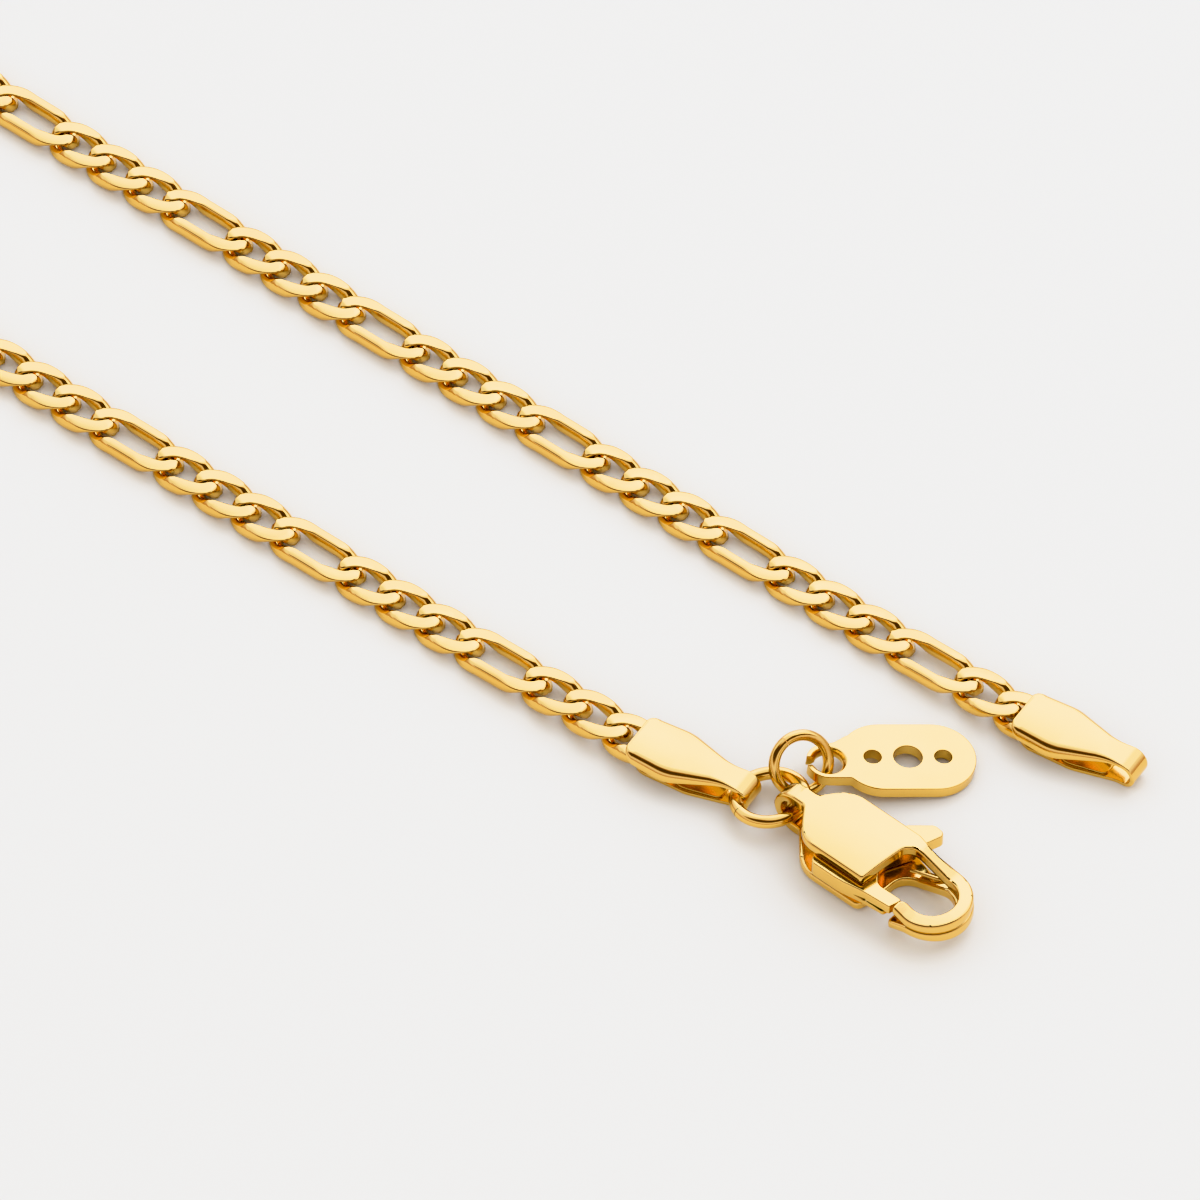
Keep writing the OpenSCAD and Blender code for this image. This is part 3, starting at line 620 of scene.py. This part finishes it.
def half_plate(bm, outline, sign, outer, inner):
    """One half of the clasp: its outline cut into strips, then raised to the two side profiles."""
    flat = bmesh.new()
    flat.faces.new([flat.verts.new((x, y, 0)) for x, y in outline])
    xs = sorted(set(outer[:, 0].round(4)) | set(inner[:, 0].round(4)))
    cuts = [((x, 0, 0), (1, 0, 0)) for x in (*xs, *LENGTH_CUTS)]
    cuts += [((0, y, 0), (0, 1, 0)) for y in CROSS_CUTS]
    for co, no in cuts:
        geom = flat.verts[:] + flat.edges[:] + flat.faces[:]
        bmesh.ops.bisect_plane(flat, geom=geom, dist=1e-5, plane_co=co, plane_no=no)
    bmesh.ops.remove_doubles(flat, verts=flat.verts, dist=0.02)
    bmesh.ops.recalc_face_normals(flat, faces=flat.faces)
    up = flat.faces[0].normal.z > 0
    crown = lambda x, y: CLASP_CROWN * (2 * y / CLASP_W) ** 2 * smooth((x - 1.6) / 2)
    high = lambda x: np.interp(x, outer[:, 0], outer[:, 1])
    deep = lambda x: np.interp(x, inner[:, 0], inner[:, 1], left=MID_Z, right=MID_Z)
    z_out = lambda x, y: MID_Z + sign * (high(x) - MID_Z - crown(x, y))
    z_in = lambda x: MID_Z + sign * (deep(x) - MID_Z)
    flat.verts.ensure_lookup_table()
    flat.verts.index_update()
    far = [bm.verts.new((v.co.x, v.co.y, z_out(v.co.x, v.co.y))) for v in flat.verts]
    near = [bm.verts.new((v.co.x, v.co.y, z_in(v.co.x))) for v in flat.verts]
    for f in flat.faces:
        order = [v.index for v in f.verts]
        if not up:
            order.reverse()
        bm.faces.new([far[i] for i in (order if sign > 0 else order[::-1])])
        if f.calc_center_median().x > EYE_X:
            bm.faces.new([near[i] for i in (order[::-1] if sign > 0 else order)])
    for e in flat.edges:
        if e.is_boundary:
            i, j = e.verts[0].index, e.verts[1].index
            bm.faces.new([far[i], far[j], near[j], near[i]])
    flat.free()


def clasp_plates():
    outer, inner = clasp_profiles()
    bm = bmesh.new()
    half_plate(bm, upper_outline(), 1, outer, inner)
    half_plate(bm, lower_outline(), -1, outer, inner)
    bmesh.ops.remove_doubles(bm, verts=bm.verts, dist=0.003)
    bmesh.ops.recalc_face_normals(bm, faces=bm.faces)
    bm.transform(CLASP_PLACE)
    finished(piece_from(bm, "clasp_plates"), "necklace", clasp_gold, ["clasp_body"], 0.18, 40.0)


def spring_leg():
    """The spring's free leg between the plates."""
    a, b = Vector((9, 1.18, 1.3)), Vector((11.4, 1.86, 1.45))
    bm = bmesh.new()
    bmesh.ops.create_cone(bm, cap_ends=True, segments=20, radius1=0.12, radius2=0.12,
                          depth=(b - a).length)
    turn = (b - a).to_track_quat("Z", "Y").to_matrix().to_4x4()
    bm.transform(CLASP_PLACE @ Matrix.Translation((a + b) / 2) @ turn)
    finished(piece_from(bm, "spring_leg"), "necklace", clasp_gold, ["clasp_body"], None)


cap_piece("clasp", "cap_clasp_side", "cap_plate_clasp_side")
cap_piece("free", "cap_free_side", "cap_plate_free_side")
polished("jump_ring_clasp", "ring_clasp", "necklace", ring_gold, None)
polished("jump_ring_tag", "ring_tag", "necklace", ring_gold, None)
polished("tag", "tag_plate", "necklace", tag_gold, 0.07)
clasp_plates()
spring_leg()
polished("clasp_pin", "clasp_rivet", "necklace", clasp_gold, 0.02)
polished("clasp_lever", "lever_plate", "lever", clasp_gold, 0.1, merge=0.03)

# floor, light, camera
TARGET, CAMERA_AT = Vector((0.06133, -0.00003, 0.0)), (0.31953, -0.31633, 0.4535)
LENS = 292.65
CAMERA_SIDE, WINDOW_SIDE = (0.632, -0.775, 0.0), (-0.547, 0.671, 0.5)
SKY, WINDOW, ROOM, AIR = 1.15, 2.8, 0.05, 1.235
WARM, WHITE, AIR_COLOR = (1.0, 0.5, 0.25), (0.88, 1.05, 1.55), (1.0, 0.96, 0.9)
SKY_BAND, LOW_RIM, HIGH_RIM = (0.05, 0.6), (0.44, 0.64), (0.9, 0.995)  # heights of a direction
SIDE_BAND, WINDOW_BAND = (-0.16, 0.12), (0.83, 0.985)  # cosines of a direction with a side
TONE_BAND = (0.1, 1.35)  # brightness over which the light goes from warm to white
DEPTH_BAND, INSIDE = (1.0, 2.2), 0.1  # bounces over which a reflection dims, and what is left
KEY = {"azimuth": 85, "elevation": 55, "distance": 1.2, "size": (1.3, 1.0), "power": 6.0,
       "color": (0.72, 0.86, 1.07)}


def floor_material():
    """Pale, dull paper."""
    m = bpy.data.materials.new("floor")
    m.use_nodes = True
    t = m.node_tree
    place = node(t, "ShaderNodeTexCoord").outputs["Object"]
    fiber = node(t, "ShaderNodeTexNoise", Vector=place, Scale=2600.0, Detail=3.0)
    grain = node(t, "ShaderNodeBump", Height=fiber.outputs["Fac"], Strength=0.12, Distance=2e-5)
    values = {"Base Color": (0.73, 0.73, 0.73, 1), "Roughness": 0.75, "Specular IOR Level": 0.2,
              "Normal": grain.outputs["Normal"]}
    for name, value in values.items():
        feed(t, t.nodes["Principled BSDF"].inputs[name], value)
    return m


def lay_floor():
    me = bpy.data.meshes.new("floor")
    corners = [(x, y, -2e-5) for x, y in ((-4, -4), (4, -4), (4, 4), (-4, 4))]
    me.from_pydata(corners, [], [(0, 1, 2, 3)])
    me.materials.append(floor_material())
    new_object("floor", me)


def paired(tree, kind, operation, a, b):
    """Value of a math node with two inputs."""
    n = node(tree, kind, operation=operation)
    feed(tree, n.inputs[0], a)
    feed(tree, n.inputs[1], b)
    return n.outputs["Value"]


def studio():
    """Sky and window for the metal, a dark room on the camera's side, plain air for the floor."""
    world = bpy.data.worlds.new("studio")
    bpy.context.scene.world = world
    world.use_nodes = True
    t = world.node_tree
    t.nodes.clear()
    direction = node(t, "ShaderNodeTexCoord").outputs["Generated"]
    height = node(t, "ShaderNodeSeparateXYZ", Vector=direction).outputs["Z"]
    soft = lambda source, band, target: ranged(t, source, band, target, "SMOOTHSTEP")
    towards = lambda side: paired(t, "ShaderNodeVectorMath", "DOT_PRODUCT", direction, side)
    both = lambda operation, a, b: paired(t, "ShaderNodeMath", operation, a, b)
    sky = soft(height, SKY_BAND, (0.5 * SKY, SKY))
    window = soft(towards(WINDOW_SIDE), WINDOW_BAND, (0.0, WINDOW))
    front = soft(towards(CAMERA_SIDE), SIDE_BAND, (0.0, 1.0))
    front = both("MULTIPLY", front, soft(height, LOW_RIM, (0.0, 1.0)))
    front = both("MULTIPLY", front, soft(height, HIGH_RIM, (1.0, 0.0)))
    light = mixed(t, "FLOAT", front, both("ADD", sky, window), ROOM)
    tone = mixed(t, "RGBA", soft(light, TONE_BAND, (0.0, 1.0)), (*WARM, 1), (*WHITE, 1))
    ray = node(t, "ShaderNodeLightPath")
    dimmer = ranged(t, ray.outputs["Glossy Depth"], DEPTH_BAND, (1.0, INSIDE))
    glossy = ray.outputs["Is Glossy Ray"]
    strength = mixed(t, "FLOAT", glossy, AIR, both("MULTIPLY", light, dimmer))
    color = mixed(t, "RGBA", glossy, (*AIR_COLOR, 1), tone)
    back = node(t, "ShaderNodeBackground", Strength=strength, Color=color)
    node(t, "ShaderNodeOutputWorld", Surface=back.outputs["Background"])


def aimed(name, data, location):
    """An object that looks at the target."""
    o = new_object(name, data)
    o.location = location
    o.rotation_euler = (TARGET - o.location).to_track_quat("-Z", "Y").to_euler()
    return o


def softbox(name, azimuth, elevation, distance, size, power, color):
    d = bpy.data.lights.new(name, "AREA")
    d.shape = "RECTANGLE"
    d.size, d.size_y = size
    d.energy = power
    d.color = color
    a, e = math.radians(azimuth), math.radians(elevation)
    away = Vector((math.cos(a) * math.cos(e), math.sin(a) * math.cos(e), math.sin(e)))
    aimed(name, d, TARGET + distance * away)


def camera():
    cam = bpy.data.cameras.new("camera")
    cam.sensor_fit = "HORIZONTAL"
    cam.sensor_width = 36.0
    cam.lens = LENS
    cam.clip_start, cam.clip_end = 0.01, 20.0
    bpy.context.scene.camera = aimed("camera", cam, CAMERA_AT)


lay_floor()
studio()
softbox("key", **KEY)
camera()
bpy.context.scene.view_settings.view_transform = "Khronos PBR Neutral"
